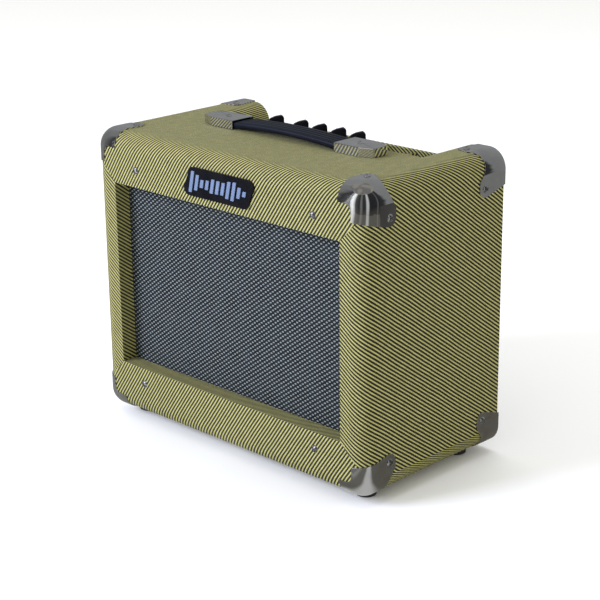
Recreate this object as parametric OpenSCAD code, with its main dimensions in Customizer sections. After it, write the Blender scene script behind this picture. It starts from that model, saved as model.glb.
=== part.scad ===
// Small guitar combo amplifier: a cloth-covered cabinet with a recessed top panel.
// X runs left to right, Y from the front to the back, Z up from the floor.
// The origin is on the floor under the middle of the cabinet.

/* [Cabinet] */
// Width of the cabinet
cab_w = 400; // [384:1:520]
// Depth of the cabinet, front to back
cab_d = 210; // [200:1:280]
// Height of the cabinet without its feet
cab_h = 322; // [318:1:420]
// Radius of the rounded outer edges
edge_r = 20; // [16:0.5:22]
// Thickness of the side, top and bottom boards
board_t = 15; // [12:0.5:16]
// Depth of the front frame in front of the grille cloth
frame_t = 19; // [14:0.5:24]
// Width of the frame's left and right strips
strip_side = 33; // [28:0.5:42]
// Height of the frame's top strip
strip_top = 56.5; // [48:0.5:70]
// Height of the frame's bottom strip
strip_bottom = 58; // [48:0.5:70]
// Thickness of the back panel and the rear rail
back_t = 6; // [4:0.5:8]

/* [Grille and baffle] */
// Thickness of the grille cloth
cloth_t = 1.2; // [0.8:0.1:2]
// Thickness of the baffle board
baffle_t = 12; // [9:0.5:15]

/* [Control recess] */
// Depth of the control panel below the top of the cabinet
recess_depth = 25; // [20:0.5:30]
// Distance from the front of the cabinet to the front edge of the recess
recess_front = 131; // [128:0.5:140]
// Width of the recess between its cheeks
recess_w = 280; // [276:1:300]
// Radius of each cheek's inner top edge
cheek_r = 22; // [10:0.5:24]
// Radius of the recess corners in plan
recess_corner_r = 13; // [6:0.5:16]
// Height of the rear rail's top above the control panel
rail_rise = 7.5; // [4:0.5:12]
// Thickness of the control panel
panel_t = 2; // [1.5:0.1:3]

/* [Knobs and switches] */
// Distance between neighbouring tone knobs
knob_pitch = 28.3; // [25:0.1:30]
// Radius of a knob's skirt
knob_r = 10.2; // [8:0.1:11]
// Height of a knob
knob_h = 25; // [18:0.5:27]
// Radius of a potentiometer shaft
shaft_r = 3; // [2.5:0.1:3.2]
// Bore radius of the large jack sockets
jack_bore_r = 3.25; // [3.2:0.01:3.4]
// Bore radius of the small jack socket
aux_bore_r = 1.8; // [1.76:0.01:1.9]
// Travel of the push button
button_travel = 2.5; // [1.5:0.1:3.5]

/* [Speaker] */
// Outer radius of the speaker
speaker_r = 100; // [85:1:102]
// Depth of the speaker basket
basket_depth = 42; // [36:1:55]
// Radius of the voice coil
coil_r = 13; // [12:0.5:18]

/* [Handle] */
// Distance between the inner ends of the handle caps
grip_span = 150; // [130:1:180]
// Length of a handle cap
cap_len = 50; // [44:1:60]
// Width of a handle cap
cap_w = 32; // [28:0.5:36]
// Height of a handle cap
cap_h = 10; // [9:0.5:12]
// Distance from the front of the cabinet to the middle of the handle
handle_y = 106; // [96:0.5:110]
// Rise of the strap at its middle
strap_rise = 3; // [2:0.5:8]
// Thickness of the strap
strap_t = 7.6; // [6:0.2:8]

/* [Corner guards and feet] */
// Thickness of the corner guards
guard_t = 1.2; // [0.8:0.1:2]
// Reach of the corner guards along the edges
guard_arm = 35; // [32:0.5:40]
// Width of the corner guards' arms on the front
guard_arm_w = 17.5; // [15:0.5:20]
// Radius of a rubber foot
foot_r = 11; // [9:0.5:13]
// Height of a rubber foot
foot_h = 10; // [8:0.5:14]

/* [Badge] */
// Width of the badge
badge_w = 104; // [80:1:120]
// Height of the badge
badge_h = 31; // [24:1:34]

/* [Hidden] */
$fn = 64;
eps = 0.01;

front_y = -cab_d / 2;
rear_y = cab_d / 2;
base_z = foot_h;
top_z = foot_h + cab_h;
half_w = cab_w / 2;
proud = 3;
reach = 60;

// Front opening
open_x = half_w - strip_side;
open_top = top_z - strip_top;
open_bottom = base_z + strip_bottom;
inner_x = half_w - board_t;
frame_y = front_y + frame_t;
baffle_y = frame_y + cloth_t;
baffle_back = baffle_y + baffle_t;

// Control recess
recess_y = front_y + recess_front;
recess_x = recess_w / 2;
panel_z = top_z - recess_depth;
panel_under = panel_z - panel_t;
rail_y = rear_y - back_t;
rail_top = panel_z + rail_rise;
rail_h = 18;
panel_lip = 8;
panel_half_w = recess_x + panel_lip;
wall_t = 12;

// Places along the control panel
knob_y = (recess_y + rail_y) / 2 + 2;
tone_x = -1.82 * knob_pitch;
gain_x = tone_x - 38;
button_x = (gain_x + tone_x) / 2;
input_x = -recess_x + 18;
phones_x = recess_x - 80;
aux_x = phones_x + 22;
lamp_x = aux_x + 16;
rocker_x = recess_x - 18;
knob_places = [gain_x, tone_x, tone_x + knob_pitch, tone_x + 2 * knob_pitch, tone_x + 3 * knob_pitch];
knob_rest = 240;
knob_gap = 1;
shaft_top = 15;
bush_r = 3.5;
bush_h = 7;
nut_r = 5.6;
nut_h = 2;
pot_r = 8.4;
pot_h = 9;
shaft_clear = 0.06;
fit_clear = 0.15;
run_gap = 0.4;
rocker_w = 13;
rocker_len = 19;
rocker_wall = 1.2;
rocker_tilt = 9;
rocker_drop = 3;
bezel = 2;
jack_thread_r = 4.8;
jack_body_r = 8;
jack_depth = 26;
aux_thread_r = 3.2;
aux_body_r = 5;
aux_depth = 14;
lamp_r = 3.2;
button_r = 4.2;
button_thread_r = 5.4;
button_out = button_travel + 3.7;

// Chassis
chassis_t = 1.2;
chassis_h = 44;
chassis_x = panel_half_w;
chassis_y0 = recess_y - panel_lip;
chassis_y1 = rail_y - 2;
pcb_t = 1.6;
pcb_drop = 13;
pcb_z = panel_under - pcb_drop;

// Handle
mouth_x = grip_span / 2;
cap_mid_y = front_y + handle_y;
cap_wall = 1.1;
cap_screw_in = 21.5;
cap_chamfer_x = 16;
cap_chamfer_y = 5.5;
strap_w = cap_w - 2 * cap_wall - 2 * run_gap;
pivot_z = top_z + cap_h - cap_wall - 0.6 - strap_t / 2;
strap_gap = 0.3;
strap_arc_r = (mouth_x * mouth_x + strap_rise * strap_rise) / (2 * strap_rise);
tongue_len = 8;
tongue_t = 5;

// Screws
wood_screw_r = 1.9;
head_r = 4.2;
head_h = 2.4;
small_head_r = 3.4;
small_head_h = 1.8;
front_screw_x = half_w - 68.3;
front_screw_top = top_z - 37.3;
front_screw_bottom = base_z + 39.8;

// Corner guards: distances inward from the side (a), the front or rear (b) and the top or bottom (c)
lobe_r = 8.8;
guard_fillet = 8;
screw_a = 30;
screw_c = 34.3;
front_top_b = 36;
front_side_b = 34;
rear_top_b = 24;
rear_side_b = 31;
front_low_b = 36;
rear_low_b = 27;
notch_r = 23;
notch_off = 12;

// Feet
foot_x = half_w - 31;
foot_front_y = front_y + 36;
foot_rear_y = rear_y - 30;
foot_recess = 5;

// Badge
badge_z = top_z - 33;
badge_plate_t = 2;
badge_lean = 7;
bar_count = 11;
bar_w = 4.6;

// Back panel
back_gap = 1;
back_low = base_z + board_t + back_gap;
back_high = panel_under - rail_h;
back_x = inner_x - back_gap;
slot_count = 11;
slot_w = 5;
slot_h = 52;
slot_pitch = 13;
slot_z = back_high - 62;
inlet_x = half_w - 78;
inlet_z = base_z + 62;
inlet_hole_w = 28;
inlet_hole_h = 20.5;
cleat = 14;
back_screw_gap = 1;
back_screw_x = min(inner_x - cleat / 2, half_w - guard_arm_w - small_head_r - back_screw_gap);

// Speaker, drawn along its own axis: local Z forward, 0 on the back of the baffle
speaker_z = (open_top + open_bottom) / 2;
gasket_t = 2;
flange_in = speaker_r - 18;
cut_r = speaker_r - 10;
hub_r = 44;
basket_t = 1.5;
basket_low = -gasket_t - basket_depth;
surround_out = flange_in;
surround_in = surround_out - 9;
cone_r = surround_in - run_gap;
cone_t = 0.9;
cone_edge_z = -gasket_t - cone_t;
coil_top = basket_low + 5;
plate_t = 4.5;
magnet_t = 15;
magnet_r = 46;
gap_clear = 0.6;
coil_wall = 0.6;
pole_r = coil_r - coil_wall - gap_clear;
cap_dome_r = 21;
cap_dome_h = 7;

// ---- shared shapes ----

// Side, top and bottom outline of the cabinet seen from the front, grown by g
module cabinet_profile(g) {
    for (s = [-1, 1])
        for (z = [base_z + edge_r, top_z - edge_r])
            translate([s * (half_w - edge_r), z])
                circle(r = edge_r + g, $fn = 96);
    translate([-half_w - g, base_z + edge_r])
        square([cab_w + 2 * g, cab_h - 2 * edge_r]);
    translate([-half_w + edge_r, base_z - g])
        square([cab_w - 2 * edge_r, cab_h + 2 * g]);
}

// Whole outer form of the cabinet, grown by g; the rear is square
module cabinet_form(g) {
    y0 = front_y + edge_r;
    low = base_z + edge_r;
    high = top_z - edge_r;
    mid = half_w - edge_r;
    translate([0, rear_y + g, 0])
        rotate([90, 0, 0])
            linear_extrude(rear_y + g - y0)
                cabinet_profile(g);
    for (s = [-1, 1])
        for (z = [low, high])
            translate([s * mid, y0, z])
                sphere(r = edge_r + g, $fn = 96);
    for (s = [-1, 1])
        translate([s * mid, y0, low])
            cylinder(r = edge_r + g, h = high - low, $fn = 96);
    for (z = [low, high])
        translate([-mid, y0, z])
            rotate([0, 90, 0])
                cylinder(r = edge_r + g, h = 2 * mid, $fn = 96);
    translate([-mid, front_y - g, low])
        cube([2 * mid, edge_r + g + 1, high - low]);
}

// Extrudes a front-view outline from y0 back to y1
module along_y(y0, y1) {
    translate([0, y1, 0])
        rotate([90, 0, 0])
            linear_extrude(y1 - y0)
                children();
}

// Part of the cabinet form inside a front-view outline, from y0 back to y1
module cabinet_slice(y0, y1) {
    intersection() {
        cabinet_form(0);
        along_y(y0, y1)
            children();
    }
}

// Pan head screw along +Z with its head's underside at 0
module screw(length, r = wood_screw_r, hr = head_r, hh = head_h) {
    slot = hr * 0.26;
    arm = hr * 1.15;
    dome = (hr * hr + hh * hh) / (2 * hh);
    difference() {
        union() {
            intersection() {
                translate([0, 0, hh - dome])
                    sphere(r = dome, $fn = 64);
                cylinder(r = hr + 1, h = hh + 1, $fn = 48);
            }
            translate([0, 0, -length])
                cylinder(r = r, h = length + 0.2, $fn = 24);
        }
        for (turn = [0, 90])
            rotate([0, 0, turn + 45])
                translate([-arm / 2, -slot / 2, hh * 0.4])
                    cube([arm, slot, hh]);
    }
}

// Hexagonal nut with a plain hole, its underside at 0
module hex_nut(r, hole_r, h) {
    difference() {
        cylinder(r = r, h = h, $fn = 6);
        translate([0, 0, -1])
            cylinder(r = hole_r, h = h + 2, $fn = 32);
    }
}

// ---- cabinet boards ----

// Right-hand side seen from the front, with mitres to the top and bottom strips
module side_strip_outline() {
    polygon([
        [open_x, open_bottom],
        [half_w + eps, open_bottom - strip_side - eps],
        [half_w + eps, open_top + strip_side + eps],
        [open_x, open_top]
    ]);
}

// Right-hand side board behind the frame, mitred to the top and bottom boards
module side_board_outline() {
    polygon([
        [inner_x, base_z + board_t],
        [half_w + eps, base_z - eps],
        [half_w + eps, top_z + eps],
        [inner_x, top_z - board_t]
    ]);
}

module side_panel() {
    cabinet_slice(front_y - 1, frame_y) side_strip_outline();
    cabinet_slice(frame_y, rear_y + 1) side_board_outline();
}

module side_panel_right() {
    color("yellowgreen") side_panel();
}

module side_panel_left() {
    color("yellowgreen") mirror([1, 0, 0]) side_panel();
}

module top_board() {
    color("yellowgreen") {
        cabinet_slice(front_y - 1, frame_y)
            polygon([
                [-open_x, open_top], [open_x, open_top],
                [half_w + eps, open_top + strip_side + eps], [half_w + eps, top_z + 1],
                [-half_w - eps, top_z + 1], [-half_w - eps, open_top + strip_side + eps]
            ]);
        cabinet_slice(frame_y, recess_y)
            polygon([
                [-inner_x, top_z - board_t], [inner_x, top_z - board_t],
                [half_w + 1, top_z + 1], [-half_w - 1, top_z + 1]
            ]);
    }
}

module bottom_board() {
    color("yellowgreen") {
        cabinet_slice(front_y - 1, frame_y)
            polygon([
                [-open_x, open_bottom], [open_x, open_bottom],
                [half_w + eps, open_bottom - strip_side - eps], [half_w + eps, base_z - 1],
                [-half_w - eps, base_z - 1], [-half_w - eps, open_bottom - strip_side - eps]
            ]);
        cabinet_slice(frame_y, rear_y)
            polygon([
                [-inner_x, base_z + board_t], [inner_x, base_z + board_t],
                [half_w + 1, base_z - 1], [-half_w - 1, base_z - 1]
            ]);
    }
}

// Front-view outline of the cheek, from the panel up to the rolled edge
module cheek_outline() {
    difference() {
        polygon([
            [recess_x, panel_z], [inner_x, panel_z], [inner_x, top_z - board_t],
            [half_w + 1, top_z + 1], [recess_x, top_z + 1]
        ]);
        difference() {
            translate([recess_x - 1, top_z - cheek_r])
                square([cheek_r + 1, cheek_r + 2]);
            translate([recess_x + cheek_r, top_z - cheek_r])
                circle(r = cheek_r, $fn = 96);
        }
    }
}

// Block beside the control recess; its inner top edge rolls down to the panel
module recess_cheek() {
    corner_x = recess_x - recess_corner_r;
    corner_y = recess_y + recess_corner_r;
    cabinet_slice(recess_y, rear_y) cheek_outline();
    // Rounded corner between the cheek and the recess's front wall
    difference() {
        translate([corner_x, recess_y, panel_z])
            cube([recess_corner_r, recess_corner_r, recess_depth]);
        translate([corner_x, corner_y, panel_z - 1])
            cylinder(r = recess_corner_r, h = recess_depth + 2, $fn = 64);
    }
}

module recess_cheek_right() {
    color("yellowgreen") recess_cheek();
}

module recess_cheek_left() {
    color("yellowgreen") mirror([1, 0, 0]) recess_cheek();
}

module recess_front_wall() {
    color("yellowgreen")
        translate([-inner_x, recess_y - wall_t, panel_z])
            cube([2 * inner_x, wall_t, recess_depth - board_t]);
}

// Rail behind the panel, wider below the cheeks
module rear_rail() {
    rail_low = back_high + back_gap;
    color("yellowgreen")
        along_y(rail_y, rear_y)
            polygon([
                [-inner_x, rail_low], [inner_x, rail_low], [inner_x, panel_z], [recess_x, panel_z],
                [recess_x, rail_top], [-recess_x, rail_top], [-recess_x, panel_z], [-inner_x, panel_z]
            ]);
}

// ---- back ----

module back_panel() {
    color("dimgray")
        difference() {
            translate([-back_x, rail_y, back_low])
                cube([2 * back_x, back_t, back_high - back_low]);
            for (i = [0:slot_count - 1])
                translate([(i - (slot_count - 1) / 2) * slot_pitch - slot_w / 2, rail_y - 1, slot_z])
                    cube([slot_w, back_t + 2, slot_h]);
            translate([inlet_x - inlet_hole_w / 2, rail_y - 1, inlet_z - inlet_hole_h / 2])
                cube([inlet_hole_w, back_t + 2, inlet_hole_h]);
        }
}

// Battens that the back panel is screwed to
module back_cleats() {
    color("burlywood")
        for (s = [-1, 1])
            translate([s * (inner_x - cleat / 2) - cleat / 2, rail_y - cleat, back_low + 4])
                cube([cleat, cleat, back_high - back_low - 20]);
}

module back_screws() {
    rows = [back_low + 18, (back_low + back_high) / 2, back_high - 28];
    color("silver")
        for (s = [-1, 1])
            for (z = rows)
                translate([s * back_screw_x, rear_y, z])
                    rotate([-90, 0, 0])
                        screw(back_t + cleat - 3, hh = small_head_h);
}

// ---- baffle and grille ----

module baffle_board() {
    color("saddlebrown")
        difference() {
            translate([-inner_x, baffle_y, base_z + board_t])
                cube([2 * inner_x, baffle_t, cab_h - 2 * board_t]);
            translate([0, baffle_y - 1, speaker_z])
                rotate([-90, 0, 0])
                    cylinder(r = cut_r, h = baffle_t + 2, $fn = 128);
        }
}

module grille_cloth() {
    color("slategray")
        translate([-inner_x, frame_y, base_z + board_t])
            cube([2 * inner_x, cloth_t, cab_h - 2 * board_t]);
}

module front_screws() {
    color("silver")
        for (s = [-1, 1])
            for (z = [front_screw_bottom, front_screw_top])
                translate([s * front_screw_x, front_y, z])
                    rotate([90, 0, 0])
                        screw(frame_t + baffle_t - 3);
}

// ---- badge ----

// Leaning rounded plate outline, w wide and h high
module badge_outline(w, h) {
    r = h / 4;
    half_h = h / 2;
    side = w / 2 - badge_lean / 2;
    shift = badge_lean / 2;
    for (sx = [-1, 1])
        for (sz = [-1, 1])
            translate([sx * (side - r) + sz * shift, sz * (half_h - r)])
                circle(r = r, $fn = 48);
    polygon([
        [-side + r - shift, -half_h], [side - r - shift, -half_h],
        [side - shift, -half_h + r], [side + shift, half_h - r],
        [side - r + shift, half_h], [-side + r + shift, half_h],
        [-side + shift, half_h - r], [-side - shift, -half_h + r]
    ]);
}

module badge_plate() {
    color("black")
        translate([0, 0, badge_z])
            along_y(front_y - badge_plate_t, front_y) badge_outline(badge_w, badge_h);
}

// Leaning bars of different heights, like a level display
module badge_bars() {
    step = (badge_w - 2 * badge_lean - 4) / bar_count;
    color("lightsteelblue")
        for (i = [0:bar_count - 1]) {
            place = (i - (bar_count - 1) / 2) * step;
            bar_h = badge_h * (0.46 + 0.28 * cos(i * 72) * cos(i * 18));
            lean = badge_lean * bar_h / badge_h;
            translate([place, 0, badge_z])
                along_y(front_y - proud, front_y - badge_plate_t)
                    polygon([
                        [-bar_w / 2 - lean / 2, -bar_h / 2], [bar_w / 2 - lean / 2, -bar_h / 2],
                        [bar_w / 2 + lean / 2, bar_h / 2], [-bar_w / 2 + lean / 2, bar_h / 2]
                    ]);
        }
}

// ---- corner guards ----

// Two arms along the edges with a filleted inner corner
module arms_outline(arm_a, arm_c) {
    inner = guard_arm_w;
    difference() {
        translate([-2, -2])
            square([arm_a + 2, arm_c + 2]);
        translate([inner + guard_fillet, inner + guard_fillet])
            circle(r = guard_fillet, $fn = 48);
        translate([inner + guard_fillet, inner])
            square([reach, reach]);
        translate([inner, inner + guard_fillet])
            square([reach, reach]);
    }
}

// Outline from the arm's end out to a round lobe about a screw at (sa, sb)
module lobe_outline(sa, sb, arm, end_b) {
    polygon([
        [-2, -2], [arm, -2], [sa + lobe_r, sb - 2], [sa + lobe_r, sb],
        [sa, sb + lobe_r], [-2, end_b + lobe_r]
    ]);
    translate([sa, sb])
        circle(r = lobe_r, $fn = 48);
}

// Space that a guard fills, in inward distances a, b, c along X, Y, Z
module guard_space(on_top, flat_b, side_b) {
    end_b = max(flat_b, side_b);
    difference() {
        intersection() {
            // seen from the front
            translate([0, reach, 0])
                rotate([90, 0, 0])
                    linear_extrude(reach + 2)
                        arms_outline(reach, reach);
            // seen from above
            translate([0, 0, -2])
                linear_extrude(reach)
                    if (on_top)
                        lobe_outline(screw_a, flat_b, guard_arm, side_b);
                    else
                        arms_outline(guard_arm, reach);
            // seen from the side
            translate([-2, 0, 0])
                rotate([90, 0, 90])
                    linear_extrude(reach)
                        mirror([1, -1, 0])
                            lobe_outline(screw_c, side_b, guard_arm, end_b);
        }
        translate([0, end_b + lobe_r + notch_off, 0])
            rotate([0, 45, 0])
                translate([0, 0, -reach])
                    cylinder(r = notch_r, h = 2 * reach, $fn = 96);
    }
}

// Puts children given in inward distances at a corner; sz is 1 at the top, sy is 1 at the rear
module at_corner(sy, sz) {
    translate([half_w, sy > 0 ? rear_y : front_y, sz > 0 ? top_z : base_z])
        mirror([1, 0, 0])
            mirror([0, sy > 0 ? 1 : 0, 0])
                mirror([0, 0, sz > 0 ? 1 : 0])
                    children();
}

// Right-hand guard at one corner
module corner_guard(sy, sz) {
    flat_b = sy > 0 ? rear_top_b : front_top_b;
    side_b = sz < 0 ? (sy > 0 ? rear_low_b : front_low_b) : (sy > 0 ? rear_side_b : front_side_b);
    difference() {
        intersection() {
            cabinet_form(guard_t);
            at_corner(sy, sz)
                guard_space(sz > 0, flat_b, side_b);
        }
        cabinet_form(0);
        at_corner(sy, sz) {
            translate([-5, side_b, screw_c])
                rotate([0, 90, 0])
                    cylinder(r = wood_screw_r + fit_clear, h = 10, $fn = 24);
            if (sz > 0)
                translate([screw_a, flat_b, -5])
                    cylinder(r = wood_screw_r + fit_clear, h = 10, $fn = 24);
        }
    }
}

// Left and right guards, mirror images of each other
module corner_guard_pair(sy, sz) {
    color("lightgray") {
        corner_guard(sy, sz);
        mirror([1, 0, 0]) corner_guard(sy, sz);
    }
}

module corner_guards_top_front() {
    corner_guard_pair(-1, 1);
}

module corner_guards_top_rear() {
    corner_guard_pair(1, 1);
}

module corner_guards_bottom_front() {
    corner_guard_pair(-1, -1);
}

module corner_guards_bottom_rear() {
    corner_guard_pair(1, -1);
}

// Screws of the right-hand guards
module guard_screw_set() {
    length = board_t - 3;
    for (place = [
        [front_y + front_side_b, top_z - screw_c], [rear_y - rear_side_b, top_z - screw_c],
        [front_y + front_low_b, base_z + screw_c], [rear_y - rear_low_b, base_z + screw_c]
    ])
        translate([half_w + guard_t, place[0], place[1]])
            rotate([0, 90, 0])
                screw(length);
    for (y = [front_y + front_top_b, rear_y - rear_top_b])
        translate([half_w - screw_a, y, top_z + guard_t])
            screw(length);
}

module corner_screws() {
    color("silver") {
        guard_screw_set();
        mirror([1, 0, 0]) guard_screw_set();
    }
}

// ---- feet ----

module rubber_feet() {
    color("black")
        for (s = [-1, 1])
            for (y = [foot_front_y, foot_rear_y])
                translate([s * foot_x, y, 0])
                    difference() {
                        rotate_extrude($fn = 64)
                            polygon([
                                [0, 0], [foot_r - 1.5, 0], [foot_r - 0.6, 0.6],
                                [foot_r, base_z - 1], [foot_r, base_z], [0, base_z]
                            ]);
                        translate([0, 0, -1])
                            cylinder(r = head_r + 0.6, h = foot_recess + 1, $fn = 32);
                        translate([0, 0, -1])
                            cylinder(r = wood_screw_r + fit_clear, h = base_z + 2, $fn = 24);
                    }
}

module foot_screws() {
    color("silver")
        for (s = [-1, 1])
            for (y = [foot_front_y, foot_rear_y])
                translate([s * foot_x, y, foot_recess])
                    rotate([180, 0, 0])
                        screw(base_z - foot_recess + board_t - 4);
}

// ---- handle ----

// Right-hand cap: open towards the strap and hollow underneath
module handle_cap() {
    x0 = mouth_x;
    x1 = mouth_x + cap_len;
    w = cap_w / 2;
    inner_len = tongue_len + 6;
    color("lightgray")
        translate([0, cap_mid_y, top_z])
            difference() {
                linear_extrude(cap_h)
                    polygon([
                        [x0, -w], [x1 - cap_chamfer_x, -w], [x1, -w + cap_chamfer_y],
                        [x1, w - cap_chamfer_y], [x1 - cap_chamfer_x, w], [x0, w]
                    ]);
                translate([x0 - 1, -w + cap_wall, -1])
                    cube([inner_len + 1, cap_w - 2 * cap_wall, cap_h - cap_wall + 1]);
                translate([x0 + cap_screw_in, 0, -1])
                    cylinder(r = wood_screw_r + fit_clear, h = cap_h + 2, $fn = 24);
            }
}

module handle_cap_right() {
    handle_cap();
}

module handle_cap_left() {
    mirror([1, 0, 0]) handle_cap();
}

// Right-hand half of the arched strap, with a tongue inside the cap
module handle_strap() {
    centre_z = pivot_z + strap_rise - strap_arc_r;
    groove_count = 5;
    groove_w = 1.4;
    groove_d = 0.9;
    pitch = strap_w / (groove_count + 1);
    outer_r = strap_arc_r + strap_t / 2;
    color("black") {
        difference() {
            translate([0, cap_mid_y, 0])
                along_y(-strap_w / 2, strap_w / 2)
                    intersection() {
                        difference() {
                            translate([0, centre_z])
                                circle(r = outer_r, $fn = 720);
                            translate([0, centre_z])
                                circle(r = strap_arc_r - strap_t / 2, $fn = 720);
                        }
                        translate([strap_gap / 2, top_z - 5])
                            square([mouth_x - strap_gap / 2 - 0.5, 40]);
                    }
            for (i = [1:groove_count])
                translate([0, cap_mid_y - strap_w / 2 + i * pitch, 0])
                    along_y(-groove_w / 2, groove_w / 2)
                        difference() {
                            translate([0, centre_z])
                                circle(r = outer_r + 5, $fn = 720);
                            translate([0, centre_z])
                                circle(r = outer_r - groove_d, $fn = 720);
                        }
        }
        translate([mouth_x - 3, cap_mid_y - strap_w / 2 + 1, pivot_z - tongue_t / 2])
            cube([tongue_len + 3, strap_w - 2, tongue_t]);
    }
}

module handle_strap_right() {
    handle_strap();
}

module handle_strap_left() {
    mirror([1, 0, 0]) handle_strap();
}

module handle_screws() {
    color("silver")
        for (s = [-1, 1])
            translate([s * (mouth_x + cap_screw_in), cap_mid_y, top_z + cap_h])
                screw(cap_h + board_t - 4, hh = small_head_h, hr = small_head_r);
}

// ---- control panel and electronics ----

// Round holes through the panel at the given places
module panel_holes(places, r) {
    for (x = places)
        translate([x, knob_y, panel_under - 1])
            cylinder(r = r, h = panel_t + 2, $fn = 32);
}

module control_panel() {
    hole_w = rocker_w + 2 * fit_clear;
    hole_len = rocker_len + 2 * fit_clear;
    color("black")
        difference() {
            translate([-panel_half_w, recess_y - panel_lip, panel_under])
                cube([2 * panel_half_w, rail_y - recess_y + panel_lip, panel_t]);
            panel_holes(knob_places, bush_r + fit_clear);
            panel_holes([input_x, phones_x], jack_thread_r + fit_clear);
            panel_holes([aux_x], aux_thread_r + fit_clear);
            panel_holes([lamp_x], lamp_r + fit_clear);
            panel_holes([button_x], button_thread_r + fit_clear);
            translate([rocker_x - hole_w / 2, knob_y - hole_len / 2, panel_under - 1])
                cube([hole_w, hole_len, panel_t + 2]);
        }
}

module panel_screws() {
    edge = 8;
    inset = 12;
    color("silver")
        for (x = [-recess_x + edge, gain_x - inset - edge, phones_x - inset, recess_x - edge])
            translate([x, recess_y + inset, panel_z])
                screw(10, r = 1.4, hr = 2.6, hh = 1.6);
}

// Folded steel tray under the panel
module chassis() {
    inner_y = chassis_y1 - chassis_y0 - 2 * chassis_t;
    color("silver")
        difference() {
            translate([-chassis_x, chassis_y0, panel_under - chassis_h])
                cube([2 * chassis_x, chassis_y1 - chassis_y0, chassis_h]);
            translate([-chassis_x + chassis_t, chassis_y0 + chassis_t, panel_under - chassis_h + chassis_t])
                cube([2 * (chassis_x - chassis_t), inner_y, chassis_h]);
        }
}

// Board with its soldered capacitors, coils and the amplifier chip's heat sink
module circuit_board() {
    low = panel_under - chassis_h + chassis_t + 2;
    tall = pcb_z - low;
    can_h = tall * 0.8;
    front = chassis_y0 + 14;
    left = -recess_x + 34;
    sink_x = gain_x + 90;
    chip_h = 4;
    color("green")
        difference() {
            translate([left, chassis_y0 + 4, pcb_z])
                cube([phones_x - 16 - left, chassis_y1 - chassis_y0 - 8, pcb_t]);
            translate([button_x, knob_y, pcb_z - 1])
                cylinder(r = button_thread_r + 3, h = pcb_t + 2, $fn = 32);
        }
    color("dimgray") {
        for (i = [0:3])
            translate([gain_x + i * 24, front, pcb_z - can_h])
                cylinder(r = 6 + (i % 2) * 2, h = can_h, $fn = 32);
        for (i = [0:5])
            translate([gain_x - 4 + i * 20, front + 40, pcb_z - chip_h])
                cube([10, 7, chip_h]);
        for (i = [0:6])
            translate([sink_x, front - 2 + i * 5, low])
                cube([24, 2, tall - chip_h]);
        translate([sink_x, front - 2, pcb_z - chip_h])
            cube([24, 32, chip_h]);
    }
}

module potentiometer_bodies() {
    color("silver")
        for (x = knob_places)
            translate([x, knob_y, panel_under])
                difference() {
                    union() {
                        translate([0, 0, -pot_h])
                            cylinder(r = pot_r, h = pot_h, $fn = 48);
                        cylinder(r = bush_r, h = bush_h, $fn = 32);
                    }
                    translate([0, 0, -pot_h + 2])
                        cylinder(r = shaft_r + shaft_clear, h = pot_h + bush_h, $fn = 48);
                }
}

module potentiometer_nuts() {
    color("silver")
        for (x = knob_places)
            translate([x, knob_y, panel_z])
                hex_nut(nut_r, bush_r + 0.05, nut_h);
}

// Knob with a pointer nose, turned to its lowest setting
module pointer_knob(x) {
    skirt_h = 5;
    top = knob_h;
    nose = knob_r * 0.98;
    tail = knob_r * 0.92;
    bar_half = knob_r * 0.46;
    hollow_r = nut_r + 0.6;
    color("black")
        translate([x, knob_y, panel_z])
            rotate([0, 0, knob_rest])
                difference() {
                    translate([0, 0, knob_gap])
                        union() {
                            rotate_extrude($fn = 64)
                                polygon([
                                    [0, 0], [knob_r, 0], [knob_r, skirt_h - 1.5],
                                    [knob_r - 1.2, skirt_h], [0, skirt_h]
                                ]);
                            translate([0, bar_half, 0])
                                rotate([90, 0, 0])
                                    linear_extrude(2 * bar_half)
                                        polygon([
                                            [-tail, 1], [nose, 1], [nose, skirt_h + 1.5],
                                            [nose * 0.72, top * 0.62], [0, top * 0.93],
                                            [-tail * 0.75, top], [-tail * 0.95, top * 0.95],
                                            [-tail, top * 0.88]
                                        ]);
                        }
                    translate([0, 0, -1])
                        cylinder(r = hollow_r, h = bush_h - panel_t + 2, $fn = 48);
                    cylinder(r = shaft_r + 0.02, h = shaft_top + 0.5, $fn = 48);
                }
}

module gain_knob() {
    pointer_knob(knob_places[0]);
}

module volume_knob() {
    pointer_knob(knob_places[1]);
}

module treble_knob() {
    pointer_knob(knob_places[2]);
}

module middle_knob() {
    pointer_knob(knob_places[3]);
}

module bass_knob() {
    pointer_knob(knob_places[4]);
}

module control_shaft(x) {
    low = -panel_t - pot_h + 2.4;
    color("silver")
        translate([x, knob_y, panel_z + low])
            cylinder(r = shaft_r, h = shaft_top - low, $fn = 48);
}

module gain_shaft() {
    control_shaft(knob_places[0]);
}

module volume_shaft() {
    control_shaft(knob_places[1]);
}

module treble_shaft() {
    control_shaft(knob_places[2]);
}

module middle_shaft() {
    control_shaft(knob_places[3]);
}

module bass_shaft() {
    control_shaft(knob_places[4]);
}

// Socket with a threaded collar and a nut, drawn at the panel
module jack_socket(x, bore_r, thread_r, body_r, depth) {
    collar_h = 4;
    translate([x, knob_y, panel_z])
        difference() {
            union() {
                translate([0, 0, -panel_t - depth])
                    cylinder(r = body_r, h = depth, $fn = 48);
                translate([0, 0, -panel_t - 1])
                    cylinder(r = thread_r, h = panel_t + collar_h + 1, $fn = 48);
                cylinder(r = body_r - 1, h = collar_h - 1.2, $fn = 6);
            }
            translate([0, 0, -panel_t - depth + 2])
                cylinder(r = bore_r, h = depth + collar_h + 10, $fn = 48);
        }
}

module input_jack() {
    color("gray") jack_socket(input_x, jack_bore_r, jack_thread_r, jack_body_r, jack_depth);
}

module phones_jack() {
    color("gray") jack_socket(phones_x, jack_bore_r, jack_thread_r, jack_body_r, jack_depth);
}

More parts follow.
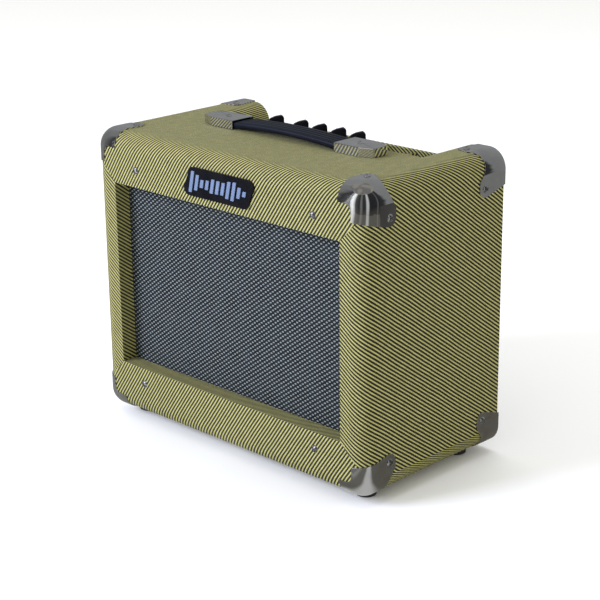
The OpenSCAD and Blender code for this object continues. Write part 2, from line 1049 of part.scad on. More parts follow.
module aux_jack() {
    color("gray") jack_socket(aux_x, aux_bore_r, aux_thread_r, aux_body_r, aux_depth);
}

module boost_switch() {
    guide_h = 3;
    body_h = 14;
    color("gray")
        translate([button_x, knob_y, panel_z])
            difference() {
                union() {
                    translate([0, 0, -panel_t - body_h])
                        cylinder(r = button_thread_r + 1.4, h = body_h, $fn = 48);
                    translate([0, 0, -panel_t - 1])
                        cylinder(r = button_thread_r, h = panel_t + guide_h + 1, $fn = 48);
                    cylinder(r = button_thread_r + 2, h = guide_h - 1, $fn = 6);
                }
                translate([0, 0, -panel_t - body_h + 2])
                    cylinder(r = button_r + run_gap, h = body_h + guide_h + 10, $fn = 48);
            }
}

module boost_button() {
    stem = button_travel + 6.5;
    color("black")
        translate([button_x, knob_y, panel_z - stem])
            rotate_extrude($fn = 48)
                polygon([
                    [0, 0], [button_r, 0], [button_r, stem + button_out - 0.8],
                    [button_r - 0.8, stem + button_out], [0, stem + button_out]
                ]);
}

// Switch housing with a bezel; the rocker turns inside it about an axis along X
module power_switch() {
    body_h = 20;
    well = 13;
    color("dimgray")
        translate([rocker_x, knob_y, panel_z])
            difference() {
                union() {
                    translate([-rocker_w / 2, -rocker_len / 2, -panel_t - body_h])
                        cube([rocker_w, rocker_len, body_h + panel_t + 1]);
                    translate([-rocker_w / 2 - bezel, -rocker_len / 2 - bezel, 0])
                        cube([rocker_w + 2 * bezel, rocker_len + 2 * bezel, 1.6]);
                }
                translate([-rocker_w / 2 + rocker_wall, -rocker_len / 2 + rocker_wall, -well])
                    cube([rocker_w - 2 * rocker_wall, rocker_len - 2 * rocker_wall, well + 5]);
            }
}

module power_rocker() {
    w = rocker_w - 2 * rocker_wall - 2 * run_gap;
    half = rocker_len / 2 - rocker_wall - 1.3;
    color("black")
        translate([rocker_x, knob_y, panel_z - rocker_drop])
            rotate([rocker_tilt, 0, 0])
                translate([-w / 2, 0, 0])
                    rotate([90, 0, 90])
                        linear_extrude(w)
                            polygon([
                                [-half + 1.4, -3], [half - 1.4, -3], [half, 5.6], [half - 0.6, 6.4],
                                [0, 5], [-half + 0.6, 6.4], [-half, 5.6]
                            ]);
}

module power_lamp() {
    color("red")
        translate([lamp_x, knob_y, panel_under - 8]) {
            cylinder(r = lamp_r, h = panel_t + 9, $fn = 32);
            translate([0, 0, panel_t + 8])
                cylinder(r = lamp_r + 0.8, h = 0.8, $fn = 32);
            translate([0, 0, panel_t + 9])
                sphere(r = lamp_r - 0.2, $fn = 32);
        }
}

// ---- mains inlet and transformer ----

module mains_inlet() {
    wall = 1.8;
    depth = 20;
    ear = 9;
    hole_w = inlet_hole_w - 2 * wall;
    hole_h = inlet_hole_h - 2 * wall;
    body_w = inlet_hole_w - 2 * fit_clear;
    body_h = inlet_hole_h - 2 * fit_clear;
    color("black")
        translate([inlet_x, 0, inlet_z]) {
            difference() {
                union() {
                    translate([-body_w / 2, rear_y - depth, -body_h / 2])
                        cube([body_w, depth, body_h]);
                    translate([-inlet_hole_w / 2 - ear, rear_y, -inlet_hole_h / 2 - 2])
                        cube([inlet_hole_w + 2 * ear, proud, inlet_hole_h + 4]);
                }
                translate([-hole_w / 2, rear_y - depth + 4, -hole_h / 2])
                    cube([hole_w, depth + 10, hole_h]);
            }
            for (pin = [[-7, -2], [0, 2], [7, -2]])
                translate([pin[0] - 1, rear_y - depth + 3, pin[1] - 2])
                    cube([2, 15, 4]);
        }
}

// Laminated core with its winding, standing on the bottom board
module transformer() {
    core_w = 57;
    core_h = 48;
    core_d = 26;
    coil_d = 44;
    coil_w = 36;
    coil_h = 30;
    foot_len = 78;
    x = half_w - 75;
    y = rail_y - 62;
    z = base_z + board_t;
    color("gray")
        translate([x, y, z]) {
            translate([-core_w / 2, -core_d / 2, 0])
                cube([core_w, core_d, core_h]);
            translate([-coil_w / 2, -coil_d / 2, (core_h - coil_h) / 2])
                cube([coil_w, coil_d, coil_h]);
            difference() {
                translate([-foot_len / 2, -core_d / 2, 0])
                    cube([foot_len, core_d, 1.5]);
                for (s = [-1, 1])
                    translate([s * (foot_len / 2 - 5), 0, -1])
                        cylinder(r = 2.2, h = 4, $fn = 24);
            }
        }
}

// ---- speaker ----

// Puts a speaker part, drawn along local Z, behind the baffle and facing the front
module on_speaker_axis() {
    translate([0, baffle_back, speaker_z])
        rotate([90, 0, 0])
            children();
}

module speaker_basket() {
    spokes = 6;
    window_w = 26;
    color("dimgray")
        on_speaker_axis()
            difference() {
                rotate_extrude($fn = 128)
                    polygon([
                        [speaker_r, -gasket_t], [flange_in, -gasket_t],
                        [hub_r, basket_low], [coil_r + 8, basket_low],
                        [coil_r + 8, basket_low - basket_t], [hub_r + 1, basket_low - basket_t],
                        [flange_in + 2, -gasket_t - basket_t], [speaker_r, -gasket_t - basket_t]
                    ]);
                for (i = [0:spokes - 1])
                    rotate([0, 0, i * 360 / spokes + 30])
                        translate([hub_r + 5, -window_w / 2, basket_low + 3])
                            cube([flange_in - hub_r - 9, window_w, basket_depth - 6]);
            }
}

// Top plate, ring magnet and pole piece
module speaker_magnet() {
    top = basket_low - basket_t;
    color("darkslategray")
        on_speaker_axis() {
            rotate_extrude($fn = 96)
                polygon([
                    [coil_r + gap_clear, top], [magnet_r - 4, top], [magnet_r - 4, top - plate_t],
                    [magnet_r, top - plate_t], [magnet_r, top - plate_t - magnet_t],
                    [magnet_r - 4, top - plate_t - magnet_t], [magnet_r - 4, top - 2 * plate_t - magnet_t],
                    [0, top - 2 * plate_t - magnet_t], [0, top],
                    [pole_r, top], [pole_r, top - plate_t - magnet_t],
                    [coil_r + 10, top - plate_t - magnet_t], [coil_r + 10, top - plate_t],
                    [coil_r + gap_clear, top - plate_t]
                ]);
        }
}

// Rolled edge with its gasket, and the corrugated spider that centres the coil
module speaker_suspension() {
    roll = (surround_out - surround_in) / 2;
    mid_r = (surround_out + surround_in) / 2;
    skin = 0.8;
    waves = 10;
    spider_in = coil_r + run_gap;
    step = (hub_r - 2 - spider_in) / waves;
    wave_h = 1;
    ripple = [for (i = [0:waves]) [spider_in + i * step, basket_low + (i % 2) * wave_h]];
    color("black")
        on_speaker_axis() {
            rotate_extrude($fn = 128) {
                difference() {
                    translate([mid_r, -gasket_t])
                        circle(r = roll, $fn = 32);
                    translate([mid_r, -gasket_t])
                        circle(r = roll - skin, $fn = 32);
                    translate([mid_r - 2 * roll, -gasket_t - 4 * roll])
                        square(4 * roll);
                }
                translate([surround_out - skin, -gasket_t])
                    square([speaker_r - surround_out, gasket_t]);
            }
            rotate_extrude($fn = 96)
                polygon(concat(ripple, [for (i = [waves:-1:0]) ripple[i] + [0, skin]]));
        }
}

// Paper cone with its dust cap
module speaker_cone() {
    slope = (cone_edge_z - coil_top) / (cone_r - coil_r);
    cap_z = coil_top + slope * (cap_dome_r - coil_r);
    steps = 8;
    dome = [for (i = [0:steps]) [cap_dome_r * (1 - i / steps), cap_z + cap_dome_h * sin(90 * i / steps)]];
    color("dimgray")
        on_speaker_axis()
            rotate_extrude($fn = 128)
                union() {
                    polygon([
                        [coil_r, coil_top], [cone_r, cone_edge_z], [cone_r, cone_edge_z + cone_t],
                        [coil_r, coil_top + cone_t]
                    ]);
                    polygon(concat(
                        [for (p = dome) [p[0], p[1] + cone_t]],
                        [[0, cap_z + cap_dome_h], [0, cap_z + cap_dome_h - 1]],
                        [for (i = [steps:-1:0]) [dome[i][0] * 0.97, dome[i][1] - 0.2]]
                    ));
                }
}

module voice_coil() {
    low = basket_low - basket_t - plate_t - 4;
    color("peru")
        on_speaker_axis()
            difference() {
                translate([0, 0, low])
                    cylinder(r = coil_r, h = coil_top + cone_t - low, $fn = 64);
                translate([0, 0, low - 1])
                    cylinder(r = coil_r - coil_wall, h = coil_top + cone_t - low + 2, $fn = 64);
            }
}

// Machine screws that hold the speaker to the baffle
module speaker_fixings() {
    color("silver")
        for (i = [0:3])
            translate([0, baffle_back + gasket_t + basket_t, speaker_z])
                rotate([0, i * 90 + 45, 0])
                    translate([speaker_r - 7, 0, 0])
                        rotate([-90, 0, 0])
                            screw(baffle_t, hh = small_head_h);
}

side_panel_left();
side_panel_right();
top_board();
bottom_board();
recess_cheek_left();
recess_cheek_right();
recess_front_wall();
rear_rail();
back_panel();
back_cleats();
back_screws();
baffle_board();
grille_cloth();
front_screws();
badge_plate();
badge_bars();
corner_guards_top_front();
corner_guards_top_rear();
corner_guards_bottom_front();
corner_guards_bottom_rear();
corner_screws();
rubber_feet();
foot_screws();
handle_cap_left();
handle_cap_right();
handle_strap_left();
handle_strap_right();
handle_screws();
control_panel();
panel_screws();
chassis();
circuit_board();
potentiometer_bodies();
potentiometer_nuts();
gain_knob();
volume_knob();
treble_knob();
middle_knob();
bass_knob();
gain_shaft();
volume_shaft();
treble_shaft();
middle_shaft();
bass_shaft();
input_jack();
phones_jack();
aux_jack();
boost_button();
boost_switch();
power_rocker();
power_switch();
power_lamp();
mains_inlet();
transformer();
speaker_basket();
speaker_magnet();
speaker_suspension();
speaker_cone();
voice_coil();
speaker_fixings();
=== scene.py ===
import math

import bmesh
import bpy
from mathutils import Matrix, Vector


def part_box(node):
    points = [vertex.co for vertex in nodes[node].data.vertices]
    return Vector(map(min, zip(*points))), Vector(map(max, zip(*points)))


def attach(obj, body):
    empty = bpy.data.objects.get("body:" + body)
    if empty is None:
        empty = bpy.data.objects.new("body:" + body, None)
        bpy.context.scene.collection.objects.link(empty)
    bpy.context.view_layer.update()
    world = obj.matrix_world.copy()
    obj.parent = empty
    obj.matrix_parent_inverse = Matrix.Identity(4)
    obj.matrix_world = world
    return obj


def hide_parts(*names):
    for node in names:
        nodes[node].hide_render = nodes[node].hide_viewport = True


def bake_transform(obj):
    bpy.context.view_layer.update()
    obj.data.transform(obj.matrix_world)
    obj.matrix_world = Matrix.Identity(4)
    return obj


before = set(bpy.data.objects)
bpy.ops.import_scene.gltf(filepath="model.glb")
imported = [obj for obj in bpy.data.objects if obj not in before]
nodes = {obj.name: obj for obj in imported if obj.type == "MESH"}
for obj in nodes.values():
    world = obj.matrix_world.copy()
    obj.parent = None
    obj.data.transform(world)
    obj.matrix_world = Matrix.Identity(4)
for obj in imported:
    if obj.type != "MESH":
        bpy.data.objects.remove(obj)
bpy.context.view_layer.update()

scene = bpy.context.scene

# ---- sizes taken from the CAD frame, in millimetres ----

MM = 0.001
# Rounding of the cabinet's outer edges and of the recess's rolled edges
EDGE_R = 20.0
CHEEK_R = 22.0


def box_mm(node):
    low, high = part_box(node)
    return [c / MM for c in low], [c / MM for c in high]


SIDE_LOW, SIDE_HIGH = box_mm("side_panel_right")
TOP_LOW, TOP_HIGH = box_mm("top_board")
BOTTOM_LOW, BOTTOM_HIGH = box_mm("bottom_board")
CHEEK_LOW = box_mm("recess_cheek_right")[0]
CLOTH_LOW, CLOTH_HIGH = box_mm("grille_cloth")
RAIL_LOW, RAIL_HIGH = box_mm("rear_rail")
HALF_W = SIDE_HIGH[0]
FRONT_Y = SIDE_LOW[1]
TOP_Z = TOP_HIGH[2]
BASE_Z = BOTTOM_LOW[2]
OPEN_X = SIDE_LOW[0]
OPEN_TOP = TOP_LOW[2]
OPEN_BOTTOM = BOTTOM_HIGH[2]
FRAME_Y = CLOTH_LOW[1]
INNER_X = CLOTH_HIGH[0]
PANEL_Z = box_mm("control_panel")[1][2]
PANEL_MID_Y = (CHEEK_LOW[1] + RAIL_LOW[1]) / 2
PANEL_HALF_D = (RAIL_LOW[1] - CHEEK_LOW[1]) / 2

KNOBS = ["gain", "volume", "treble", "middle", "bass"]


def middle(node):
    low, high = box_mm(node)
    return [(a + b) / 2 for a, b in zip(low, high)]


KNOB_Y = middle("gain_shaft")[1]
KNOB_X = [middle(name + "_shaft")[0] for name in KNOBS]

# ---- arithmetic in material node trees ----


class Value:
    """A number in a material's node tree. Arithmetic on it adds Math nodes."""

    def __init__(self, tree, socket):
        self.tree = tree
        self.socket = socket

    def __add__(self, other):
        return calc("ADD", self, other)

    def __radd__(self, other):
        return calc("ADD", self, other)

    def __sub__(self, other):
        return calc("SUBTRACT", self, other)

    def __rsub__(self, other):
        return calc("SUBTRACT", other, self)

    def __mul__(self, other):
        return calc("MULTIPLY", self, other)

    def __rmul__(self, other):
        return calc("MULTIPLY", self, other)

    def __truediv__(self, other):
        return calc("DIVIDE", self, other)

    def __abs__(self):
        return calc("ABSOLUTE", self)


def calc(operation, *values):
    tree = next(v.tree for v in values if isinstance(v, Value))
    node = tree.nodes.new("ShaderNodeMath")
    node.operation = operation
    for i, value in enumerate(values):
        if isinstance(value, Value):
            tree.links.new(value.socket, node.inputs[i])
        else:
            node.inputs[i].default_value = value
    return Value(tree, node.outputs[0])


def above(value, limit):
    return calc("GREATER_THAN", value, limit)


def below(value, limit):
    return calc("LESS_THAN", value, limit)


def at_least(value, limit):
    return calc("MAXIMUM", value, limit)


def at_most(value, limit):
    return calc("MINIMUM", value, limit)


def smooth(value, low, high, out_low=0.0, out_high=1.0):
    """Smooth step of value from low to high."""
    node = value.tree.nodes.new("ShaderNodeMapRange")
    node.interpolation_type = "SMOOTHSTEP"
    value.tree.links.new(value.socket, node.inputs["Value"])
    node.inputs["From Min"].default_value = low
    node.inputs["From Max"].default_value = high
    node.inputs["To Min"].default_value = out_low
    node.inputs["To Max"].default_value = out_high
    return Value(value.tree, node.outputs["Result"])


class Finish:
    """A procedural material under construction, in object coordinates in millimetres."""

    def __init__(self, name, **sockets):
        self.material = bpy.data.materials.new(name)
        self.material.use_nodes = True
        self.tree = self.material.node_tree
        self.shader = self.tree.nodes["Principled BSDF"]
        for key, value in sockets.items():
            self.shader.inputs[key.replace("_", " ")].default_value = value
        self.coordinates = self.tree.nodes.new("ShaderNodeTexCoord")
        self.place = self.coordinates.outputs["Object"]

    def parts(self, socket, factor=1.0):
        split = self.tree.nodes.new("ShaderNodeSeparateXYZ")
        self.tree.links.new(socket, split.inputs[0])
        values = [Value(self.tree, s) for s in split.outputs]
        return [v * factor for v in values] if factor != 1.0 else values

    def xyz(self):
        return self.parts(self.place, 1.0 / MM)

    def normal(self):
        return self.parts(self.coordinates.outputs["Normal"])

    def join(self, x, y, z=0.0):
        node = self.tree.nodes.new("ShaderNodeCombineXYZ")
        for i, value in enumerate((x, y, z)):
            if isinstance(value, Value):
                self.tree.links.new(value.socket, node.inputs[i])
            else:
                node.inputs[i].default_value = value
        return node.outputs[0]

    def noise(self, scale, detail=3.0, stretch=(1, 1, 1), rough=0.55, at=None):
        """Noise from 0 to 1. scale is repeats per metre, or per unit of at."""
        mapping = self.tree.nodes.new("ShaderNodeMapping")
        mapping.inputs["Scale"].default_value = stretch
        self.tree.links.new(at or self.place, mapping.inputs["Vector"])
        node = self.tree.nodes.new("ShaderNodeTexNoise")
        node.inputs["Scale"].default_value = scale
        node.inputs["Detail"].default_value = detail
        node.inputs["Roughness"].default_value = rough
        self.tree.links.new(mapping.outputs[0], node.inputs["Vector"])
        return Value(self.tree, node.outputs["Fac"])

    def mix(self, factor, first, second):
        node = self.tree.nodes.new("ShaderNodeMix")
        node.data_type = "RGBA"
        self.tree.links.new(factor.socket, node.inputs[0])
        for socket, colour in ((node.inputs[6], first), (node.inputs[7], second)):
            if isinstance(colour, tuple):
                socket.default_value = (*colour, 1.0)
            else:
                self.tree.links.new(colour, socket)
        return node.outputs[2]

    def colour(self, socket):
        self.tree.links.new(socket, self.shader.inputs["Base Color"])

    def roughness(self, value):
        self.tree.links.new(value.socket, self.shader.inputs["Roughness"])

    def bump(self, height, depth_mm, strength=1.0):
        node = self.tree.nodes.new("ShaderNodeBump")
        node.inputs["Strength"].default_value = strength
        node.inputs["Distance"].default_value = depth_mm * MM
        self.tree.links.new(height.socket, node.inputs["Height"])
        self.tree.links.new(node.outputs[0], self.shader.inputs["Normal"])


def wave(value, period):
    """Cosine of value with the given period, scaled to run from 0 to 1."""
    return calc("COSINE", value * (2 * math.pi / period)) * 0.5 + 0.5


# ---- tweed ----

# Millimetres across one yellow and one dark stripe, and how steeply the stripes rise
STRIPE = 3.52
SLOPE = 1.40
# Millimetres between threads, and how far the stripes' edges follow the threads' steps
THREAD = 0.56
STEPPED = 0.4
# Where the dark stripe starts and is full, from 0 at the yellow's middle to 1
DARK_FROM = 0.34
DARK_FULL = 0.49
YELLOW = (0.425, 0.412, 0.128)
YELLOW_DEEP = (0.355, 0.343, 0.094)
DARK = (0.009, 0.006, 0.008)
WOOD_PALE = (0.66, 0.49, 0.29)
WOOD_DEEP = (0.46, 0.31, 0.16)


def tweed(name, wrap, bare=None):
    """Yellow and dark diagonal tweed. wrap gives the cloth's own two coordinates at a point,
    and bare, if given, how far the point is bare wood."""
    finish = Finish(name, Roughness=0.82, Sheen_Weight=0.04, Sheen_Roughness=0.5)
    x, y, z = finish.xyz()
    normal = finish.normal()
    p, q = wrap(x, y, z, normal)
    cloth = finish.join(p, q)
    # Threads step across each stripe's edge
    p_step = calc("FLOOR", p / THREAD) * THREAD
    q_step = calc("FLOOR", q / THREAD) * THREAD
    p_mix = p * (1 - STEPPED) + p_step * STEPPED
    q_mix = q * (1 - STEPPED) + q_step * STEPPED
    drift = (finish.noise(0.020, 2.0, at=cloth) - 0.5) * 1.6
    across = (p_mix * SLOPE - q_mix) * (1 / math.hypot(1, SLOPE)) + drift
    stripe = abs(calc("FRACT", across / STRIPE) - 0.5) * 2.0
    dark = smooth(stripe, DARK_FROM, DARK_FULL)
    thread = wave(p, THREAD) * wave(q, THREAD)
    fleck = finish.noise(1.9, 1.0, at=cloth)
    tone = finish.noise(0.11, 4.0, at=cloth)
    dark = dark * smooth(fleck, 0.30, 0.22, 1.0, 0.8)
    light_col = finish.mix(smooth(tone, 0.30, 0.70), YELLOW_DEEP, YELLOW)
    light_col = finish.mix(smooth(fleck, 0.64, 0.76, 0.0, 0.35), light_col, (0.16, 0.13, 0.04))
    # Yellow darkened in the gaps between threads: painted shade in the weave's hollows
    light_col = finish.mix(smooth(thread, 0.0, 0.5, 0.22, 0.0), light_col, (0.20, 0.18, 0.04))
    # Dark yarn lightened on the raised thread crowns: painted highlight
    dark_col = finish.mix(smooth(thread, 0.1, 0.9, 0.0, 0.5), DARK, (0.028, 0.020, 0.022))
    colour = finish.mix(dark, light_col, dark_col)
    height = (1.0 - stripe) * 0.6 + thread * 0.4
    if bare is not None:
        grain = finish.noise(12.0, 6.0, (3.0, 0.35, 14.0))
        wood = finish.mix(smooth(grain, 0.3, 0.7), WOOD_DEEP, WOOD_PALE)
        colour = finish.mix(bare(x, y, z), colour, wood)
    finish.colour(colour)
    finish.roughness(finish.noise(60.0, 3.0) * 0.2 + 0.70)
    finish.bump(height, 0.22, 0.55)
    return finish.material


# Keeps an angle defined where both its sides are 0
HAIR = 0.01
# How far behind the grille cloth's face a point still belongs to the front frame's reveal
FRAME_SKIN = 1.0
# Tolerance in telling a board's bare inner faces from its covered ones
BARE_SKIN = 0.3
# Bare inner faces of the top and bottom boards lie deeper than this under their outer faces
BOARD_SKIN = 14.0


def past(value, limit):
    """How far value is above limit, or 0."""
    return at_least(value - limit, 0.0)


def short(value, limit):
    """How far value is below limit, or 0."""
    return at_least(limit - value, 0.0)


def turn(across, along):
    """Angle on a rounded edge, from 0 where across is 0 to a right angle where along is 0."""
    return calc("ARCTAN2", across, along)


def outer_arc(x, z):
    """Distance from the middle of the top over its rounded edge and down the side."""
    wide = abs(x)
    out = past(wide, HALF_W - EDGE_R)
    arc = turn(out, at_least(past(z, TOP_Z - EDGE_R), HAIR))
    return at_most(wide, HALF_W - EDGE_R) + arc * EDGE_R


def wrap_top(x, y, z, normal):
    y0 = FRONT_Y + EDGE_R
    front = short(y, y0)
    arc = turn(front, at_least(past(z, TOP_Z - EDGE_R), HAIR))
    q = at_least(y, y0) - arc * EDGE_R - short(z, TOP_Z - EDGE_R)
    under = below(normal[2], -0.5) * below(y, FRAME_Y + FRAME_SKIN)
    q = q - under * (y - FRONT_Y)
    q = q + above(normal[1], 0.5) * (TOP_Z - z)
    sign = calc("SIGN", x)
    flat = below(z, TOP_Z - EDGE_R)
    p = flat * x + (1.0 - flat) * sign * outer_arc(x, z)
    return p, q


def wrap_bottom(x, y, z, normal):
    y0 = FRONT_Y + EDGE_R
    z0 = BASE_Z + EDGE_R
    arc = turn(short(y, y0), at_least(short(z, z0), HAIR))
    q = at_least(z, z0) - (math.pi / 2 - arc) * EDGE_R - past(y, y0)
    ledge = above(normal[2], 0.5) * below(y, FRAME_Y + FRAME_SKIN)
    return x, q + ledge * (y - FRONT_Y)


def wrap_side(x, y, z, normal):
    wide = abs(x)
    sign = calc("SIGN", x)
    out = at_least(past(wide, HALF_W - EDGE_R), HAIR)
    over = turn(out, past(z, TOP_Z - EDGE_R))
    under = math.pi / 2 - turn(out, short(z, BASE_Z + EDGE_R))
    down = past(z * -1.0, EDGE_R - TOP_Z)
    p = (over + under) * EDGE_R + down + (HALF_W - EDGE_R)
    y0 = FRONT_Y + EDGE_R
    arc = turn(short(y, y0), out)
    q = at_least(y, y0) - arc * EDGE_R - short(wide, HALF_W - EDGE_R)
    reveal = below(wide, OPEN_X + 0.6) * below(normal[0] * sign, -0.5)
    return p * sign, q - reveal * (y - FRONT_Y)


def wrap_cheek(x, y, z, normal):
    wide = abs(x)
    sign = calc("SIGN", x)
    x0 = CHEEK_LOW[0] + CHEEK_R
    z0 = TOP_Z - CHEEK_R
    arc = turn(short(wide, x0), at_least(past(z, z0), HAIR))
    p = at_least(outer_arc(x, z), x0) - arc * CHEEK_R - short(z, z0)
    q = y + above(normal[1], 0.5) * (TOP_Z - z)
    return p * sign, q


def wrap_wall(x, y, z, normal):
    return x, z * -1.0 + (TOP_Z + FRONT_Y)


def wrap_rail(x, y, z, normal):
    drop = RAIL_HIGH[2] - z
    return drop - (y - RAIL_LOW[1]) * above(normal[2], 0.5), x


def bare_side(x, y, z):
    return below(abs(x), INNER_X + BARE_SKIN) * above(y, FRAME_Y + BARE_SKIN)


def bare_top(x, y, z):
    return below(z, TOP_Z - BOARD_SKIN) * above(y, FRAME_Y + BARE_SKIN)


def bare_bottom(x, y, z):
    return above(z, BASE_Z + BOARD_SKIN) * above(y, FRAME_Y + BARE_SKIN)


# ---- other finishes ----


def metal(name, base, worn, rough, scratch=0.25, depth=0.01, stretch=(1, 1, 1), grain=900.0):
    """Bare or plated metal with fine scratches and a little dulling."""
    finish = Finish(name, Metallic=1.0)
    haze = finish.noise(38.0, 4.0)
    fine = finish.noise(grain, 3.0, stretch)
    finish.colour(finish.mix(smooth(haze, 0.35, 0.75), base, worn))
    finish.roughness(smooth(haze, 0.3, 0.8, rough, rough * 1.9) + fine * rough * scratch)
    finish.bump(fine * 0.5 + finish.noise(55.0, 2.0), depth, 0.4)
    return finish.material


def moulded(name, base, light, rough, grain=1500.0, depth=0.03, shine=0.5):
    """Moulded plastic or rubber with a fine surface grain and dust in random patches."""
    finish = Finish(name, Specular_IOR_Level=shine)
    dust = finish.noise(45.0, 4.0)
    fine = finish.noise(grain, 2.0)
    finish.colour(finish.mix(smooth(dust, 0.42, 0.80, 0.0, 0.35), base, light))
    finish.roughness(smooth(dust, 0.3, 0.8, rough, rough + 0.14) + fine * 0.06)
    finish.bump(fine, depth, 0.5)
    return finish.material


def timber(name, pale, deep, stretch, rough=0.6):
    finish = Finish(name)
    grain = finish.noise(14.0, 6.0, stretch, 0.6)
    pores = finish.noise(90.0, 3.0, stretch)
    finish.colour(finish.mix(smooth(grain, 0.3, 0.7), deep, pale))
    finish.roughness(pores * 0.2 + rough)
    finish.bump(pores, 0.12, 0.5)
    return finish.material


def grille_finish():
    """Silver-blue threads crossing a black ground in diagonal steps."""
    finish = Finish("woven_grille", Specular_IOR_Level=0.25)
    x, y, z = finish.xyz()
    pitch_x = 6.9
    pitch_z = 5.0
    cloth = finish.join(x, z)
    bend = (finish.noise(0.03, 2.0, at=cloth) - 0.5) * 0.5
    rise = calc("COSINE", (x * (1 / pitch_x) - z * (1 / pitch_z) + bend * 0.05) * (2 * math.pi))
    fall = calc("COSINE", (x * (1 / pitch_x) + z * (1 / pitch_z)) * (2 * math.pi))
    row = calc("COSINE", z * (4 * math.pi / pitch_z))
    lift = rise * 0.42 + fall * 0.30 + row * 0.12 + 0.42
    thread = smooth(lift, 0.52, 0.94)
    strand_pitch = 0.5
    strand = wave(x * 0.6 + z, strand_pitch)
    tone = finish.noise(0.05, 3.0, at=cloth)
    ground = finish.mix(smooth(tone, 0.3, 0.7), (0.004, 0.006, 0.008), (0.009, 0.012, 0.015))
    silver = finish.mix(strand, (0.130, 0.156, 0.158), (0.215, 0.250, 0.245))
    finish.colour(finish.mix(thread, ground, silver))
    finish.roughness(thread * -0.25 + 0.80)
    finish.bump(lift + strand * 0.15, 0.35, 0.8)
    return finish.material


# The panel's pale border: half its length, its distance from the recess's walls, half its width
BORDER_X = 128.0
BORDER_IN = 5.0
BORDER_HALF = 0.35
# Inner and outer radius of the ticks round a knob
TICK_FROM = 11.6
TICK_TO = 13.4


def panel_finish():
    """Satin black panel with a fine pale border and twelve ticks round each knob."""
    finish = Finish("panel_satin_black")
    x, y, z = finish.xyz()
    marks = None
    for knob_x in KNOB_X:
        dx = x - knob_x
        dy = y - KNOB_Y
        far = calc("SQRT", dx * dx + dy * dy)
        ring = above(far, TICK_FROM) * below(far, TICK_TO)
        spoke = calc("FRACT", calc("ARCTAN2", dy, dx) * (6 / math.pi) + 0.5)
        tick = ring * below(abs(spoke - 0.5), 0.055) * above(dy + abs(dx) * 3.0, 0.0)
        marks = tick if marks is None else at_least(marks, tick)
    inset_x = abs(x) - BORDER_X
    inset_y = abs(y - PANEL_MID_Y) - (PANEL_HALF_D - BORDER_IN)
    edge = at_least(inset_x, inset_y)
    marks = at_least(marks, above(edge, -BORDER_HALF) * below(edge, BORDER_HALF))
    marks = marks * above(z, PANEL_Z - 0.05)
    dust = finish.noise(30.0, 5.0)
    ground = finish.mix(smooth(dust, 0.4, 0.8), (0.012, 0.012, 0.014), (0.035, 0.035, 0.036))
    finish.colour(finish.mix(marks, ground, (0.62, 0.62, 0.58)))
    finish.roughness(dust * 0.2 + 0.28)
    finish.bump(finish.noise(1400.0, 2.0), 0.02, 0.4)
    return finish.material


def laminate():
    finish = Finish("green_laminate", Roughness=0.35)
    x, y, z = finish.xyz()
    track = finish.noise(60.0, 0.0, (1.0, 6.0, 1.0))
    lines = smooth(abs(calc("FRACT", track * 9.0) - 0.5), 0.36, 0.40)
    pad_pitch = 5.08
    pads = wave(x, pad_pitch) * wave(y, pad_pitch)
    board = finish.mix(lines, (0.02, 0.11, 0.045), (0.03, 0.19, 0.08))
    finish.colour(finish.mix(smooth(pads, 0.90, 0.93), board, (0.45, 0.42, 0.36)))
    finish.bump(lines, 0.05, 0.5)
    return finish.material


def lens():
    finish = Finish("lamp_red", Roughness=0.12, Transmission_Weight=0.35, IOR=1.45)
    cells = finish.noise(700.0, 1.0)
    finish.colour(finish.mix(smooth(cells, 0.4, 0.6), (0.42, 0.012, 0.010), (0.62, 0.03, 0.02)))
    finish.bump(cells, 0.05, 0.6)
    return finish.material


def pressed_paper(name, pale, deep):
    finish = Finish(name, Roughness=0.9)
    x, y, z = finish.xyz()
    dz = z - (OPEN_TOP + OPEN_BOTTOM) / 2
    ring_pitch = 3.2
    rings = wave(calc("SQRT", x * x + dz * dz), ring_pitch)
    pulp = finish.noise(300.0, 5.0)
    finish.colour(finish.mix(smooth(pulp, 0.3, 0.7), deep, pale))
    finish.bump(rings * 0.4 + pulp, 0.2, 0.6)
    return finish.material


def wound(name, base, light, axis):
    """Fine wire turns side by side."""
    finish = Finish(name, Metallic=0.7, Roughness=0.4)
    wire = 0.6
    turns = wave(finish.xyz()[axis], wire)
    tone = finish.noise(80.0, 3.0)
    shade = finish.mix(smooth(tone, 0.3, 0.7), base, light)
    # Near-black in the grooves between turns is painted shade
    finish.colour(finish.mix(turns, (0.03, 0.015, 0.01), shade))
    finish.bump(turns, 0.15, 0.8)
    return finish.material


def ribbed():
    """Navy-black vinyl of the carrying strap, polished along its ribs."""
    finish = Finish("strap_vinyl", Specular_IOR_Level=0.12)
    scuff = finish.noise(30.0, 5.0, (0.4, 3.0, 1.0))
    grain = finish.noise(1100.0, 2.0)
    finish.colour(finish.mix(smooth(scuff, 0.35, 0.8), (0.003, 0.0045, 0.010), (0.007, 0.009, 0.018)))
    finish.roughness(smooth(scuff, 0.3, 0.8, 0.36, 0.52))
    finish.bump(grain, 0.04, 0.4)
    return finish.material


chrome = metal("chrome_plate", (0.66, 0.65, 0.64), (0.56, 0.54, 0.51), 0.035, 0.1, 0.002)
nickel = metal("nickel_screws", (0.66, 0.66, 0.68), (0.42, 0.41, 0.40), 0.13)
zinc = metal("zinc_sheet", (0.62, 0.63, 0.64), (0.50, 0.50, 0.50), 0.32, 0.5, 0.03, (1.0, 14.0, 1.0))
turned = metal("turned_metal", (0.66, 0.66, 0.66), (0.46, 0.45, 0.43), 0.26, 0.4)
iron = metal("varnished_iron", (0.13, 0.13, 0.14), (0.20, 0.16, 0.12), 0.42, 0.6, 0.05, (1.0, 30.0, 1.0))
badge_black = moulded("badge_gloss_black", (0.004, 0.004, 0.006), (0.012, 0.012, 0.015), 0.2, 700.0, 0.01,
                      shine=0.2)
badge_blue = moulded("badge_pale_blue", (0.115, 0.165, 0.28), (0.15, 0.21, 0.33), 0.34, 900.0, 0.02)
